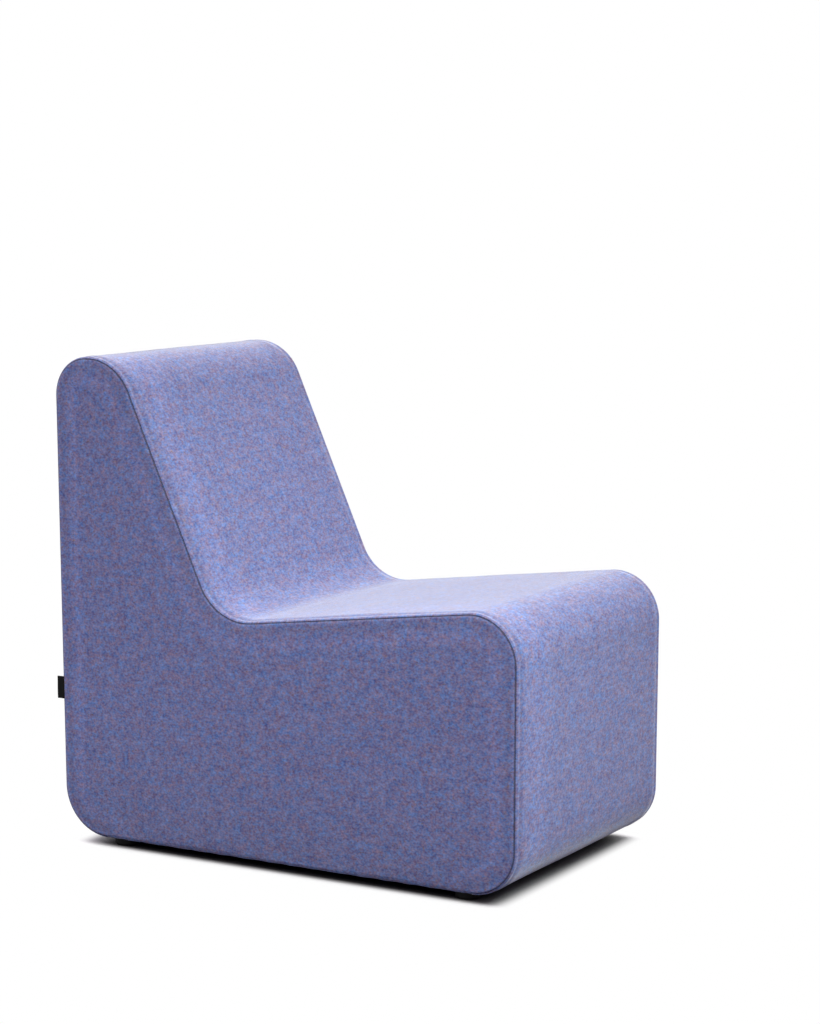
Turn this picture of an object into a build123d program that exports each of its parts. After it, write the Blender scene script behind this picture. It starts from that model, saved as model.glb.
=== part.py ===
from build123d import *
import math
import os

# Armless upholstered lounge chair, in millimetres.
# X runs across the seat, -Y is the front, +Z is up. Z = 0 is the floor.

# Outer form, over the cover
seat_width = 478.0          # over the two side covers
chair_depth = 800.0         # front face to rear face
chair_height = 760.0        # floor to the top of the backrest
ground_gap = 14.0           # floor to the underside of the cover
seat_height = 435.0         # where the seat and front planes would meet
seat_fall = 7.0             # slope of the seat down to the rear, degrees
back_lean = 24.0            # lean of the backrest from upright, degrees
top_flat = 4.0              # level run between the two curves of the top
front_bottom_radius = 72.0
rear_bottom_radius = 78.0
top_rear_radius = 60.0
top_front_radius = 83.0
crook_radius = 83.0         # hollow curve between backrest and seat
seat_front_radius = 74.0
edge_radius = 8.0           # rounding between a side face and the band
seam_inset = 3.0            # the seam lies this far inside the side outline

# Upholstery layers
cover_thickness = 1.6
wadding_thickness = 5.0
side_foam_thickness = 12.0
front_foam_thickness = 25.0
seat_foam_thickness = 90.0
back_foam_thickness = 60.0
top_foam_thickness = 40.0
rear_foam_thickness = 15.0
least_edge = 0.5            # smallest rounding left on an inner layer
mitre_run_on = 0.3          # foam joints run on into the frame, as a share of their length

# Turned-under cover and the dust cover below it
side_flap = 72.0            # side cover turned under, from the side face
end_flap = 134.0            # band turned under, from the front or rear face
dust_cover_thickness = 0.8
dust_overlap = 12.0         # dust cover over the flaps, all round

# Plywood and timber frame
panel_thickness = 18.0
front_panel_thickness = 12.0
rear_panel_thickness = 6.0
top_board_thickness = 9.0
frame_corner_share = 0.7    # bottom corners: share of the foam's depth off the outer radius
frame_top_rear_radius = 12.0
frame_top_front_radius = 8.0
frame_crook_radius = 30.0
frame_seat_front_radius = 10.0
runner_width = 60.0
base_height = 28.0
base_rail_width = 60.0
base_rail_inset = 85.0      # base rail's near edge, from the front or rear face
block_leg = 55.0            # legs of the triangular corner blocks
seat_rail_depth = 34.0
seat_rail_height = 45.0
crook_gap = 6.0             # rear seat rail, in front of the crook corner
back_rail_depth = 25.0
back_rail_height = 50.0
back_rail_rise = 25.0       # lower back rail, above the crook corner

# Seat springs and back webbing
spring_count = 5
spring_wire = 3.6
spring_pitch = 26.0         # one run of the zigzag to the next
spring_amplitude = 42.0     # width of the zigzag over the wire's centre
spring_bend_share = 0.48    # bend radius as a share of the pitch
clip_plate = 1.2
clip_width = 26.0
clip_length = 18.0
clip_setback = 8.0          # clip's end, from the rail's outer edge
felt_thickness = 3.0
spring_play = 2.4           # free height between springs and felt
strap_count = 4
strap_width = 50.0
strap_thickness = 1.8
strap_end = 4.0             # strap ends, inside the rails' far edges

# Glides
glide_diameter = 38.0
glide_rounding = 4.0
glide_side_inset = 34.0     # glide centre, from the side face
glide_end_inset = 95.0      # glide centre, from the front or rear face
glide_bore = 5.0
glide_counterbore = 11.0
glide_counterbore_depth = 6.0

# Fasteners
screw_shank = 4.4
screw_head = 8.6
screw_head_depth = 2.8
frame_screw_length = 50.0
rail_screw_share = 0.25     # rail screws, from the rail's middle as a share of its height
runner_screw_length = 45.0
runner_screw_count = 3
pan_head_depth = 3.0
glide_screw_length = 24.0
staple_crown = 10.0
staple_wire = 0.7
staple_leg = 8.0
staple_pitch = 62.0
staple_edge = 6.0           # staple line, inside the dust cover's edge

# Woven tag in the near side's rear seam
tag_height = 35.0
tag_centre_height = 246.0
tag_reach = 9.5             # beyond the rear face
tag_root = 14.0             # inside the seam, from the rear face
tag_thickness = 1.6

# Clearances
screw_fit = 0.05            # round a screw's shank and head
staple_fit = 0.05           # round a staple's legs
tag_fit = 0.05              # round the tag in the seam
strap_fit = 0.2             # strap to the foam in front of it
felt_fit = 1.0              # felt to the side panels

# The tag counts in the overall box, whose centre is Y = 0.
rear_y = (chair_depth - tag_reach) / 2
front_y = rear_y - chair_depth
half_width = seat_width / 2
cover_bottom = ground_gap
frame_bottom = cover_bottom + cover_thickness
base_top = frame_bottom + base_height
foam_depth = cover_thickness + wadding_thickness
frame_half = half_width - foam_depth - side_foam_thickness
inner_half = frame_half - panel_thickness
spring_space = 2 * clip_plate + spring_wire + felt_thickness + spring_play
webbing_space = strap_thickness + strap_fit

lean = math.radians(back_lean)
fall = math.radians(seat_fall)
up_back = (math.sin(lean), math.cos(lean))          # up along the backrest
behind_back = (math.cos(lean), -math.sin(lean))     # square to it, rearward
along_seat = (math.cos(fall), -math.sin(fall))      # front to rear on the seat
above_seat = (math.sin(fall), math.cos(fall))       # square to it, upward


def meet(p, p_dir, q, q_dir):
    """Point where two lines cross, each given by a point and a direction."""
    cross = p_dir[0] * q_dir[1] - p_dir[1] * q_dir[0]
    step = ((q[0] - p[0]) * q_dir[1] - (q[1] - p[1]) * q_dir[0]) / cross
    return (p[0] + p_dir[0] * step, p[1] + p_dir[1] * step)


def moved(point, *moves):
    """Point moved by (distance, direction) pairs in the side view."""
    return (
        point[0] + sum(distance * way[0] for distance, way in moves),
        point[1] + sum(distance * way[1] for distance, way in moves),
    )


def outer_corners():
    """Sharp corners of the side view, counter-clockwise from the front bottom."""
    turn = math.radians(90 - back_lean)
    head_y = rear_y - top_rear_radius - top_flat - top_front_radius * math.tan(turn / 2)
    head = (head_y, chair_height)
    seat_front = (front_y, seat_height)
    crook = meet(head, up_back, seat_front, along_seat)
    return [
        (front_y, cover_bottom), (rear_y, cover_bottom), (rear_y, chair_height),
        head, crook, seat_front,
    ]


def inset_corners(insets):
    """Corners after each side of the outer form moves in by its own inset."""
    corners = outer_corners()
    lines = []
    for i, inset in enumerate(insets):
        a, b = corners[i], corners[(i + 1) % len(corners)]
        length = math.dist(a, b)
        way = ((b[0] - a[0]) / length, (b[1] - a[1]) / length)
        lines.append((moved(a, (inset, (-way[1], way[0]))), way))
    return [meet(*lines[i - 1], *lines[i]) for i in range(len(lines))]


def outline(inset):
    """Side view of the outer form, moved in by one inset, with tangent corners."""
    radii = [
        front_bottom_radius - inset, rear_bottom_radius - inset, top_rear_radius - inset,
        top_front_radius - inset, crook_radius + inset, seat_front_radius - inset,
    ]
    return make_face(FilletPolyline(*inset_corners([inset] * 6), radius=radii, close=True))


frame_insets = [
    cover_thickness, foam_depth + rear_foam_thickness, foam_depth + top_foam_thickness,
    foam_depth + back_foam_thickness, foam_depth + seat_foam_thickness,
    foam_depth + front_foam_thickness,
]
frame_corners = inset_corners(frame_insets)
frame_radii = [
    front_bottom_radius - frame_corner_share * frame_insets[5],
    rear_bottom_radius - frame_corner_share * frame_insets[1],
    frame_top_rear_radius, frame_top_front_radius, frame_crook_radius, frame_seat_front_radius,
]
frame_front, frame_rear, _, frame_head, frame_crook, frame_seat_front = frame_corners
panel_front = frame_front[0] + front_panel_thickness    # front panel's inner face
panel_rear = frame_rear[0] - rear_panel_thickness       # rear panel's inner face
frame_face = make_face(FilletPolyline(*frame_corners, radius=frame_radii, close=True))


def polygon(*points):
    return make_face(Polyline(*points, close=True))


def slab(face, low_x, high_x):
    """A side-view face (Y, Z) made solid from low_x to high_x."""
    return Pos(low_x, 0, 0) * extrude(Plane.YZ * face, high_x - low_x)


def block(low, high):
    """Box between two opposite corners."""
    size = [high[i] - low[i] for i in range(3)]
    return Pos(*low) * Box(*size, align=(Align.MIN, Align.MIN, Align.MIN))


def body(inset):
    """The whole outer form moved in by an inset, with its side edges rounded."""
    solid = slab(outline(inset), inset - half_width, half_width - inset)
    rims = solid.faces().sort_by(Axis.X)[0].edges() + solid.faces().sort_by(Axis.X)[-1].edges()
    return fillet(rims, max(edge_radius - inset, least_edge))


def mirrored(solid):
    return mirror(solid, about=Plane.YZ)


def ring_of(count, low, high):
    """Evenly spaced values, centred between two ends."""
    step = (high - low) / count
    return [low + step * (i + 0.5) for i in range(count)]


# Cover

def seam_tag():
    """Flat folded tag, just under the side cover, standing out of the rear seam."""
    low = (cover_thickness - half_width, rear_y - tag_root, tag_centre_height - tag_height / 2)
    high = (low[0] + tag_thickness, rear_y + tag_reach, tag_centre_height + tag_height / 2)
    return block(low, high)


def tag_slot():
    box = seam_tag().bounding_box()
    grow = Vector(tag_fit, tag_fit, tag_fit)
    return block(tuple(box.min - grow), tuple(box.max + grow))


def side_region():
    """All that lies inside the two side seams, with the side covers' turned-under hems."""
    region = slab(outline(seam_inset), -half_width, half_width)
    hem = block(
        (half_width - side_flap, front_y + front_bottom_radius, 0),
        (half_width, rear_y - rear_bottom_radius, cover_bottom + seam_inset),
    )
    return region + hem + mirrored(hem)


def covers():
    """Band and side covers, cut from one skin along the seams."""
    skin = body(0) - body(cover_thickness)
    under = block(
        (side_flap - half_width, front_y + end_flap, 0),
        (half_width - side_flap, rear_y - end_flap, frame_bottom),
    )
    skin = skin - under - tag_slot()
    region = side_region()
    sides = skin & region
    right = sides & block((0, front_y, 0), (half_width, rear_y, chair_height))
    left = sides & block((-half_width, front_y, 0), (0, rear_y, chair_height))
    return skin - region, left, right


def dust_cover():
    side = half_width - side_flap + dust_overlap
    end = end_flap - dust_overlap
    return block(
        (-side, front_y + end, cover_bottom - dust_cover_thickness),
        (side, rear_y - end, cover_bottom),
    )


# Wadding and foam

def wadding():
    """Band and two side sheets of wadding, between the cover and the foam."""
    layer = body(cover_thickness) - body(foam_depth)
    layer = layer - slab(frame_face, -frame_half, frame_half) - tag_slot()
    face_x = half_width - foam_depth
    right = layer & block((face_x, front_y, 0), (half_width, rear_y, chair_height))
    left = layer & block((-half_width, front_y, 0), (-face_x, rear_y, chair_height))
    middle = layer & block((-face_x, front_y, 0), (face_x, rear_y, chair_height))
    return middle, left, right


def foam_blocks():
    """Foam round the frame, mitred at each corner of the side view."""
    ring = outline(foam_depth) - frame_face
    reach = seat_foam_thickness
    middle = (front_y + rear_y) / 2
    _, _, top_rear, head, crook, seat_front = outer_corners()
    in_top_rear, in_head, in_crook, in_seat_front = [
        moved(frame, (mitre_run_on, (frame[0] - outer[0], frame[1] - outer[1])))
        for frame, outer in zip(frame_corners[2:], outer_corners()[2:])
    ]
    crook_out = moved(crook, (reach, above_seat), (-reach, behind_back))
    low = cover_bottom - reach
    wedges = {
        "front_foam": [
            in_seat_front, seat_front, (front_y - reach, seat_height),
            (front_y - reach, low), (middle, low), (middle, base_top),
            (frame_front[0] + front_bottom_radius, base_top),
        ],
        "seat_foam": [
            in_seat_front, seat_front, moved(seat_front, (reach, above_seat)),
            crook_out, crook, in_crook,
        ],
        "back_foam": [
            in_crook, crook, crook_out,
            moved(head, (-reach, behind_back)), head, in_head,
        ],
        "top_foam": [
            in_head, head, (head[0], chair_height + reach),
            (rear_y, chair_height + reach), top_rear, in_top_rear,
        ],
        "rear_foam": [
            in_top_rear, top_rear, (rear_y + reach, chair_height),
            (rear_y + reach, low), (middle, low), (middle, base_top),
            (frame_rear[0] - rear_bottom_radius, base_top),
        ],
    }
    return {
        name: slab(ring & polygon(*corners), -frame_half, frame_half)
        for name, corners in wedges.items()
    }


def side_foam():
    """Foam sheet on the right side of the frame, up to the wadding."""
    return body(foam_depth) & block(
        (frame_half, front_y, 0), (half_width, rear_y, chair_height)
    )


# Frame

def base_runner():
    zone = polygon(
        (front_y, frame_bottom), (rear_y, frame_bottom), (rear_y, base_top), (front_y, base_top)
    )
    return slab(frame_face & zone, frame_half - runner_width, frame_half)


def side_panel():
    zone = polygon(
        (front_y, base_top), (rear_y, base_top), (rear_y, chair_height), (front_y, chair_height)
    )
    return slab(frame_face & zone, inner_half, frame_half)


def base_rail(near_y, far_y):
    reach = frame_half - runner_width
    return block((-reach, near_y, frame_bottom), (reach, far_y, base_top))


base_rails = {
    "base_rail_front": (front_y + base_rail_inset, front_y + base_rail_inset + base_rail_width),
    "base_rail_rear": (rear_y - base_rail_inset - base_rail_width, rear_y - base_rail_inset),
}


def corner_blocks():
    """Glue blocks in the four inner corners of the base frame."""
    x = frame_half - runner_width
    y_front = base_rails["base_rail_front"][1]
    y_rear = base_rails["base_rail_rear"][0]
    blocks = []
    for side in (-1, 1):
        for y, way in ((y_front, 1), (y_rear, -1)):
            corner = [(side * x, y), (side * (x - block_leg), y), (side * x, y + way * block_leg)]
            blocks.append(Pos(0, 0, frame_bottom) * extrude(polygon(*corner), base_height))
    return blocks


rail_line = moved(frame_seat_front, (-spring_space, above_seat))   # tops of the seat rails
strap_line = moved(frame_head, (webbing_space, behind_back))       # fronts of the back rails
board_bottom = frame_head[1] - top_board_thickness


def front_panel():
    top_near = meet(rail_line, along_seat, (frame_front[0], 0), (0, 1))
    top_far = meet(rail_line, along_seat, (panel_front, 0), (0, 1))
    zone = polygon(top_near, top_far, (panel_front, base_top), (frame_front[0], base_top))
    return slab(frame_face & zone, -inner_half, inner_half)


def rear_panel():
    zone = polygon(
        (panel_rear, base_top), (frame_rear[0], base_top),
        (frame_rear[0], board_bottom), (panel_rear, board_bottom),
    )
    return slab(frame_face & zone, -inner_half, inner_half)


def top_board():
    zone = polygon(
        (front_y, board_bottom), (rear_y, board_bottom),
        (rear_y, chair_height), (front_y, chair_height),
    )
    return slab(frame_face & zone, -inner_half, inner_half)


def upright_rail(near_y):
    """Section of a seat rail: upright sides, level foot, top planed to the seat's slope."""
    far_y = near_y + seat_rail_depth
    top_near = meet(rail_line, along_seat, (near_y, 0), (0, 1))
    top_far = meet(rail_line, along_seat, (far_y, 0), (0, 1))
    foot = top_far[1] - seat_rail_height
    return [top_near, top_far, (far_y, foot), (near_y, foot)]


def leaning_rail(start):
    """Section of a back rail, from its lower front corner up along the backrest."""
    top = moved(start, (back_rail_height, up_back))
    return [
        start, top, moved(top, (back_rail_depth, behind_back)),
        moved(start, (back_rail_depth, behind_back)),
    ]


def rail_sections():
    """Side-view sections of the four cross rails."""
    low_back = moved(frame_crook, (webbing_space, behind_back), (back_rail_rise, up_back))
    high_back = meet(strap_line, up_back, (0, board_bottom), (1, 0))
    return {
        "seat_rail_front": upright_rail(panel_front),
        "seat_rail_rear": upright_rail(frame_crook[0] - crook_gap - seat_rail_depth),
        "back_rail_lower": leaning_rail(low_back),
        "back_rail_upper": leaning_rail(moved(high_back, (-back_rail_height, up_back))),
    }


# Springs and webbing

def on_seat_plane(origin):
    """Plane on the rails' tops: its X runs to the rear, its Z is square to the seat."""
    return Plane(
        origin=(0, *origin), x_dir=(0, *along_seat), z_dir=(0, *above_seat)
    )


def seat_span(sections):
    """Front rail's first top corner, and the distance to the rear rail's last one."""
    start = sections["seat_rail_front"][0]
    end = sections["seat_rail_rear"][1]
    return start, math.dist(start, end)


def spring_rows(sections):
    """Straight cross runs of one spring, from clip to clip."""
    start, span = seat_span(sections)
    first = clip_setback + clip_length / 2
    last = span - first
    runs = 2 * round((last - first) / spring_pitch / 2) + 1
    return start, [first + (last - first) * i / (runs - 1) for i in range(runs)]


def seat_spring(sections, x):
    """Zigzag wire, its first and last runs under the clips."""
    start, rows = spring_rows(sections)
    half = spring_amplitude / 2
    height = clip_plate + spring_wire / 2
    points = []
    for i, u in enumerate(rows):
        ends = [(-half, u), (half, u)] if i % 2 == 0 else [(half, u), (-half, u)]
        points += ends
    bend = spring_bend_share * (rows[1] - rows[0])
    path = FilletPolyline(
        *[(u, across, height) for across, u in points], radius=[bend] * (len(points) - 2)
    )
    wire = sweep(Plane(origin=path @ 0, z_dir=path % 0) * Circle(spring_wire / 2), path=path)
    return Pos(x, 0, 0) * (on_seat_plane(start) * wire)


def spring_clip(sections, x, u, way):
    """Folded strip that grips a spring's end run; its open mouth faces the span."""
    start, _ = seat_span(sections)
    inner = spring_wire + 2 * clip_plate
    profile = polygon(
        (-way * clip_length / 2, 0), (way * clip_length / 2, 0),
        (way * clip_length / 2, clip_plate), (-way * (clip_length / 2 - clip_plate), clip_plate),
        (-way * (clip_length / 2 - clip_plate), inner - clip_plate),
        (way * spring_wire, inner - clip_plate), (way * spring_wire, inner),
        (-way * clip_length / 2, inner),
    )
    strip = extrude(Plane.XZ * profile, clip_width / 2, both=True)
    return Pos(x, 0, 0) * (on_seat_plane(start) * (Pos(u, 0, 0) * strip))


def spring_places():
    return ring_of(spring_count, felt_fit - inner_half, inner_half - felt_fit)


def spring_felt():
    """Felt sheet over the springs, from the front panel to the crook corner."""
    thick = (-felt_thickness, above_seat)
    near = meet(frame_seat_front, along_seat, (panel_front, 0), (0, 1))
    far = moved(frame_crook, (-crook_gap - frame_crook_radius, along_seat))
    section = polygon(near, far, moved(far, thick), moved(near, thick))
    return slab(section, felt_fit - inner_half, inner_half - felt_fit)


def back_strap(sections, x):
    """One elastic strap on the fronts of the two back rails."""
    low = moved(sections["back_rail_lower"][0], (strap_end, up_back))
    high = moved(sections["back_rail_upper"][1], (-strap_end, up_back))
    forward = (-strap_thickness, behind_back)
    section = polygon(low, high, moved(high, forward), moved(low, forward))
    return slab(section, x - strap_width / 2, x + strap_width / 2)


# Fasteners and glides

def countersunk(length, grow=0.0):
    """Countersunk screw along +Z, its head's flat face at Z = 0."""
    shank = Cylinder(
        screw_shank / 2 + grow, length + grow, align=(Align.CENTER, Align.CENTER, Align.MIN)
    )
    head = Cone(
        screw_head / 2 + grow, screw_shank / 2 + grow, screw_head_depth + grow,
        align=(Align.CENTER, Align.CENTER, Align.MIN),
    )
    return shank + head


def frame_screw_places(sections):
    """Screws through the side panels into the rails, and up through the runners."""
    places = []
    for name, corners in sections.items():
        centre = [sum(p[i] for p in corners) / 4 for i in range(2)]
        up, height = (up_back, back_rail_height) if "back" in name else ((0, 1), seat_rail_height)
        for sign in (-1, 1):
            y, z = moved(centre, (sign * rail_screw_share * height, up))
            for side in (-1, 1):
                spot = Plane(origin=(side * frame_half, y, z), z_dir=(-side, 0, 0))
                places.append((spot, frame_screw_length))
    first, last = front_y + end_flap + block_leg, rear_y - end_flap - block_leg
    for y in ring_of(runner_screw_count, first, last):
        for side in (-1, 1):
            x = side * (inner_half + frame_half) / 2
            places.append((Plane(origin=(x, y, frame_bottom), z_dir=(0, 0, 1)), runner_screw_length))
    return places


def frame_screws(sections, grow=0.0):
    return [spot * countersunk(length, grow) for spot, length in frame_screw_places(sections)]


def glide_places():
    x = half_width - glide_side_inset
    ends = (front_y + glide_end_inset, rear_y - glide_end_inset)
    return [Pos(side * x, y, 0) for side in (-1, 1) for y in ends]


def glide():
    """Round disc with a soft lower edge, bored for its screw."""
    bottom = (Align.CENTER, Align.CENTER, Align.MIN)
    disc = Cylinder(glide_diameter / 2, ground_gap, align=bottom)
    disc = fillet(disc.edges().group_by(Axis.Z)[0], glide_rounding)
    disc -= Cylinder(glide_bore / 2, ground_gap, align=bottom)
    return disc - Cylinder(glide_counterbore / 2, glide_counterbore_depth, align=bottom)


def glide_screw(grow=0.0):
    """Pan-head screw up through a glide, its head at the counterbore's floor."""
    bottom = (Align.CENTER, Align.CENTER, Align.MIN)
    shank = Cylinder(screw_shank / 2 + grow, glide_screw_length + grow, align=bottom)
    head = Cylinder(screw_head / 2, pan_head_depth, align=(Align.CENTER, Align.CENTER, Align.MAX))
    return Pos(0, 0, glide_counterbore_depth) * (shank + head)


def staple(grow=0.0):
    """Staple with its crown below Z = 0 and its legs up."""
    bottom = (Align.CENTER, Align.CENTER, Align.MIN)
    crown = Box(staple_crown, staple_wire, staple_wire, align=(Align.CENTER, Align.CENTER, Align.MAX))
    side = staple_wire + 2 * grow
    leg = Box(side, side, staple_leg + grow, align=bottom)
    reach = (staple_crown - staple_wire) / 2
    return crown + Pos(-reach, 0, 0) * leg + Pos(reach, 0, 0) * leg


def staple_places():
    """Staples round the dust cover's edge, each in line with it."""
    x = half_width - side_flap + dust_overlap - staple_edge
    low_y = front_y + end_flap - dust_overlap + staple_edge
    high_y = rear_y - end_flap + dust_overlap - staple_edge
    z = cover_bottom - dust_cover_thickness
    across = ring_of(round(2 * x / staple_pitch), -x, x)
    along = ring_of(round((high_y - low_y) / staple_pitch), low_y, high_y)
    rows = [Pos(u, y, z) for y in (low_y, high_y) for u in across]
    columns = [Pos(side * x, v, z) * Rot(0, 0, 90) for side in (-1, 1) for v in along]
    return rows + columns


def cut(solid, tools):
    """A solid less only those tools that reach it."""
    box = solid.bounding_box()
    near = [tool for tool in tools if box.overlaps(tool.bounding_box())]
    return solid - near if near else solid


# Assembly

def build_nodes():
    sections = rail_sections()
    screw_holes = frame_screws(sections, screw_fit)
    staple_holes = [place * staple(staple_fit) for place in staple_places()]
    glide_holes = [place * glide_screw(screw_fit) for place in glide_places()]
    holes = screw_holes + staple_holes + glide_holes

    band, cover_left, cover_right = covers()
    wadding_band, wadding_left, wadding_right = wadding()
    xs = spring_places()
    start, rows = spring_rows(sections)
    clips = [spring_clip(sections, x, u, way) for x in xs for u, way in ((rows[0], 1), (rows[-1], -1))]

    nodes = {
        "cover_band": band,
        "cover_side_left": cover_left,
        "cover_side_right": cover_right,
        "dust_cover": dust_cover(),
        "side_panel_right": side_panel(),
        "side_panel_left": mirrored(side_panel()),
        "base_runner_right": base_runner(),
        "base_runner_left": mirrored(base_runner()),
        "front_panel": front_panel(),
        "rear_panel": rear_panel(),
        "top_board": top_board(),
    }
    for name, (near_y, far_y) in base_rails.items():
        nodes[name] = base_rail(near_y, far_y)
    for name, corners in sections.items():
        nodes[name] = slab(polygon(*corners), -inner_half, inner_half)
    nodes = {name: cut(solid, holes) for name, solid in nodes.items()}

    nodes |= foam_blocks()
    nodes |= {
        "side_foam_right": side_foam(),
        "side_foam_left": mirrored(side_foam()),
        "wadding_band": wadding_band,
        "wadding_left": wadding_left,
        "wadding_right": wadding_right,
        "seam_tag": seam_tag(),
        "corner_blocks": corner_blocks(),
        "seat_springs": [seat_spring(sections, x) for x in xs],
        "spring_clips": clips,
        "spring_felt": spring_felt(),
        "back_webbing": [back_strap(sections, x) for x in ring_of(strap_count, -inner_half, inner_half)],
        "frame_screws": frame_screws(sections),
        "glides": [place * glide() for place in glide_places()],
        "glide_screws": [place * glide_screw() for place in glide_places()],
        "dust_cover_staples": [place * staple() for place in staple_places()],
    }
    return nodes


def main():
    os.makedirs("parts", exist_ok=True)
    for name, shape in build_nodes().items():
        solids = shape if isinstance(shape, list) else [shape]
        solids = [solid for item in solids for solid in item.solids()]
        part = solids[0] if len(solids) == 1 else Compound(children=solids)
        part.label = name
        export_step(part, f"parts/{name}.step")
        print(name, len(solids), "solid(s)", round(sum(s.volume for s in solids)), "mm3")


main()
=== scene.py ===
import math
from functools import partial

import bmesh
import bpy
import numpy as np
from mathutils import Matrix, Vector
from mathutils.geometry import delaunay_2d_cdt


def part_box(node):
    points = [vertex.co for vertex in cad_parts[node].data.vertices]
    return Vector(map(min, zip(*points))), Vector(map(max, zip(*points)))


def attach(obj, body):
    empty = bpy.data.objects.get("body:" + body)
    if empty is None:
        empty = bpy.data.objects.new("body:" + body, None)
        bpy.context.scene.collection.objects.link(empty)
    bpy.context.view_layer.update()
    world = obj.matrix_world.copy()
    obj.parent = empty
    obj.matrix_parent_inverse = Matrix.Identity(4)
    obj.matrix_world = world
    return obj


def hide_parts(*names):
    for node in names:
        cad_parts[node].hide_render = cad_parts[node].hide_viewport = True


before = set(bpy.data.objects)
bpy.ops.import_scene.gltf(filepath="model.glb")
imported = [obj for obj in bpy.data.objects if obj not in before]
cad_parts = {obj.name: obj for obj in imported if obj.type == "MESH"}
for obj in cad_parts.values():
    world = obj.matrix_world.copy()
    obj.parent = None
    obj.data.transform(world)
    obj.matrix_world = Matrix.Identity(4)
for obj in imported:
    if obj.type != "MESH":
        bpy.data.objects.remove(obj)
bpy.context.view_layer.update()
mm = 0.001

# Everything is in metres: X across the chair, -Y its front, +Z up, the floor at 0.
# The side view below repeats the part's own sizes, and its place comes from the frame.
chair = {
    "halfWidth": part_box("cover_side_right")[1].x,
    "frontY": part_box("cover_band")[0].y,
    "rearY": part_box("cover_band")[1].y,
    "bottomZ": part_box("cover_band")[0].z,
    "topZ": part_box("cover_band")[1].z,
    "seatHeight": 435 * mm,        # where seat and front would meet
    "seatFall": 7.0,               # degrees
    "backLean": 24.0,              # degrees
    "topFlat": 4 * mm,
    # the curves in the order in which the outline meets them
    "radii": {"rearBottom": 78 * mm, "topRear": 60 * mm, "topFront": 83 * mm, "crook": 83 * mm,
              "seatFront": 74 * mm, "frontBottom": 72 * mm},
    "edgeRadius": 8 * mm,          # from a side face round to the band
    "seamInset": 3 * mm,           # seam, inside the side outline
    "sideFlap": 72 * mm,           # side cover turned under, from the side face
    "endFlap": 134 * mm,           # band turned under, from the front or rear face
    "straightStep": 4 * mm,
    "arcStep": 2.5,                # degrees
}


def linearOf(code):
    # sRGB hex to linear: below 0.04045 divide by 12.92, else ((c + 0.055) / 1.055) to the power 2.4
    c = np.array([int(code[i:i + 2], 16) for i in (1, 3, 5)]) / 255
    c = np.where(c <= 0.04045, c / 12.92, ((c + 0.055) / 1.055) ** 2.4)
    return (*c.tolist(), 1.0)


def addNode(tree, kind, inputs=None, operation=None, stops=(), **settings):
    # one node with its stops and settings; an input is a value, a node, or a node and its output's name
    made = tree.nodes.new("ShaderNode" + kind)
    for i, (at, code) in enumerate(stops):
        stop = made.color_ramp.elements[i] if i < 2 else made.color_ramp.elements.new(at)
        stop.position, stop.color = at, linearOf(code)
    if operation:
        made.operation = operation
    for key, value in settings.items():
        setattr(made, key, value)
    for key, value in (inputs or {}).items():
        source, output = value if isinstance(value, tuple) and len(value) == 2 else (value, 0)
        if isinstance(source, bpy.types.Node):
            tree.links.new(source.outputs[output], made.inputs[key])
        else:
            made.inputs[key].default_value = value
    return made


def nodesOn(owner):
    # empties a material's or a world's nodes, and returns the way to add new ones
    owner.use_nodes = True
    owner.node_tree.nodes.clear()
    return partial(addNode, owner.node_tree)


def smooth(t):
    # eases from 0 to 1: three t squared less two t cubed
    t = np.clip(t, 0, 1)
    return t * t * (3 - 2 * t)


def hump(x, centre, width):
    # bell curve, 1 at its centre, falling to 0.37 one width away
    return np.exp(-((x - centre) / width) ** 2)


def crossOf(a, b):
    # first times second of one way, less second times first of the other
    return a[..., 0] * b[..., 1] - a[..., 1] * b[..., 0]


def quadsOf(rows, columns, closeColumns=False, start=0):
    # corner indices of a grid of quads, row by row
    r = np.arange(rows - 1)[:, None]
    c = np.arange(columns if closeColumns else columns - 1)[None, :]
    d = (c + 1) % columns
    a = start + r * columns
    b = a + columns
    return np.stack([a + c, a + d, b + d, b + c], -1).reshape(-1, 4)


def putObject(name, data):
    made = bpy.data.objects.new(name, data)
    bpy.context.scene.collection.objects.link(made)
    return made


def makeMesh(name, points, faces):
    # from whole arrays; faces may mix quads, triangles and end polygons
    mesh = bpy.data.meshes.new(name)
    mesh.from_pydata(points.tolist(), [], faces)
    return mesh


def turnOut(mesh, weld=0.0, agree=True):
    # merges points nearer than the weld, makes the faces agree, and turns them to hold a volume above nought
    work = bmesh.new()
    work.from_mesh(mesh)
    if weld:
        bmesh.ops.remove_doubles(work, verts=work.verts, dist=weld)
    if agree:
        bmesh.ops.recalc_face_normals(work, faces=work.faces)
    volume = work.calc_volume(signed=True)
    work.to_mesh(mesh)
    work.free()
    if volume < 0:
        mesh.flip_normals()


def makePiece(name, points, faces, uv, replaces, marks=None, weld=0.0):
    # one piece of the part, with its map, its marks per point, its slot and the node that it stands for
    mesh = makeMesh(name, points.reshape(-1, 3), faces)
    corner = np.zeros(len(mesh.loops), np.int32)
    mesh.loops.foreach_get("vertex_index", corner)
    uv = uv.reshape(-1, 2)[corner].astype(np.float32)
    mesh.uv_layers.new(name="cloth").data.foreach_set("uv", uv.ravel())
    for key, values in (marks or {}).items():
        mesh.attributes.new(key, "FLOAT", "POINT").data.foreach_set("value", values.astype(np.float32))
    mesh.polygons.foreach_set("use_smooth", np.ones(len(mesh.polygons), bool))
    turnOut(mesh, weld, agree=weld > 0)
    mesh.update()
    piece = putObject(name, mesh)
    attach(piece, "root")
    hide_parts(*replaces)
    return piece


camera = {
    "place": (-3.41013, -2.07128, 1.03941),
    "right": (0.503689, -0.863885, 0.0),
    "up": (0.173290, 0.101037, 0.979675),
    "sensor": 36, "lens": 91.60, "shiftX": 0.0055, "shiftY": 0.1848, "clip": (0.05, 60),
}

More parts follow.
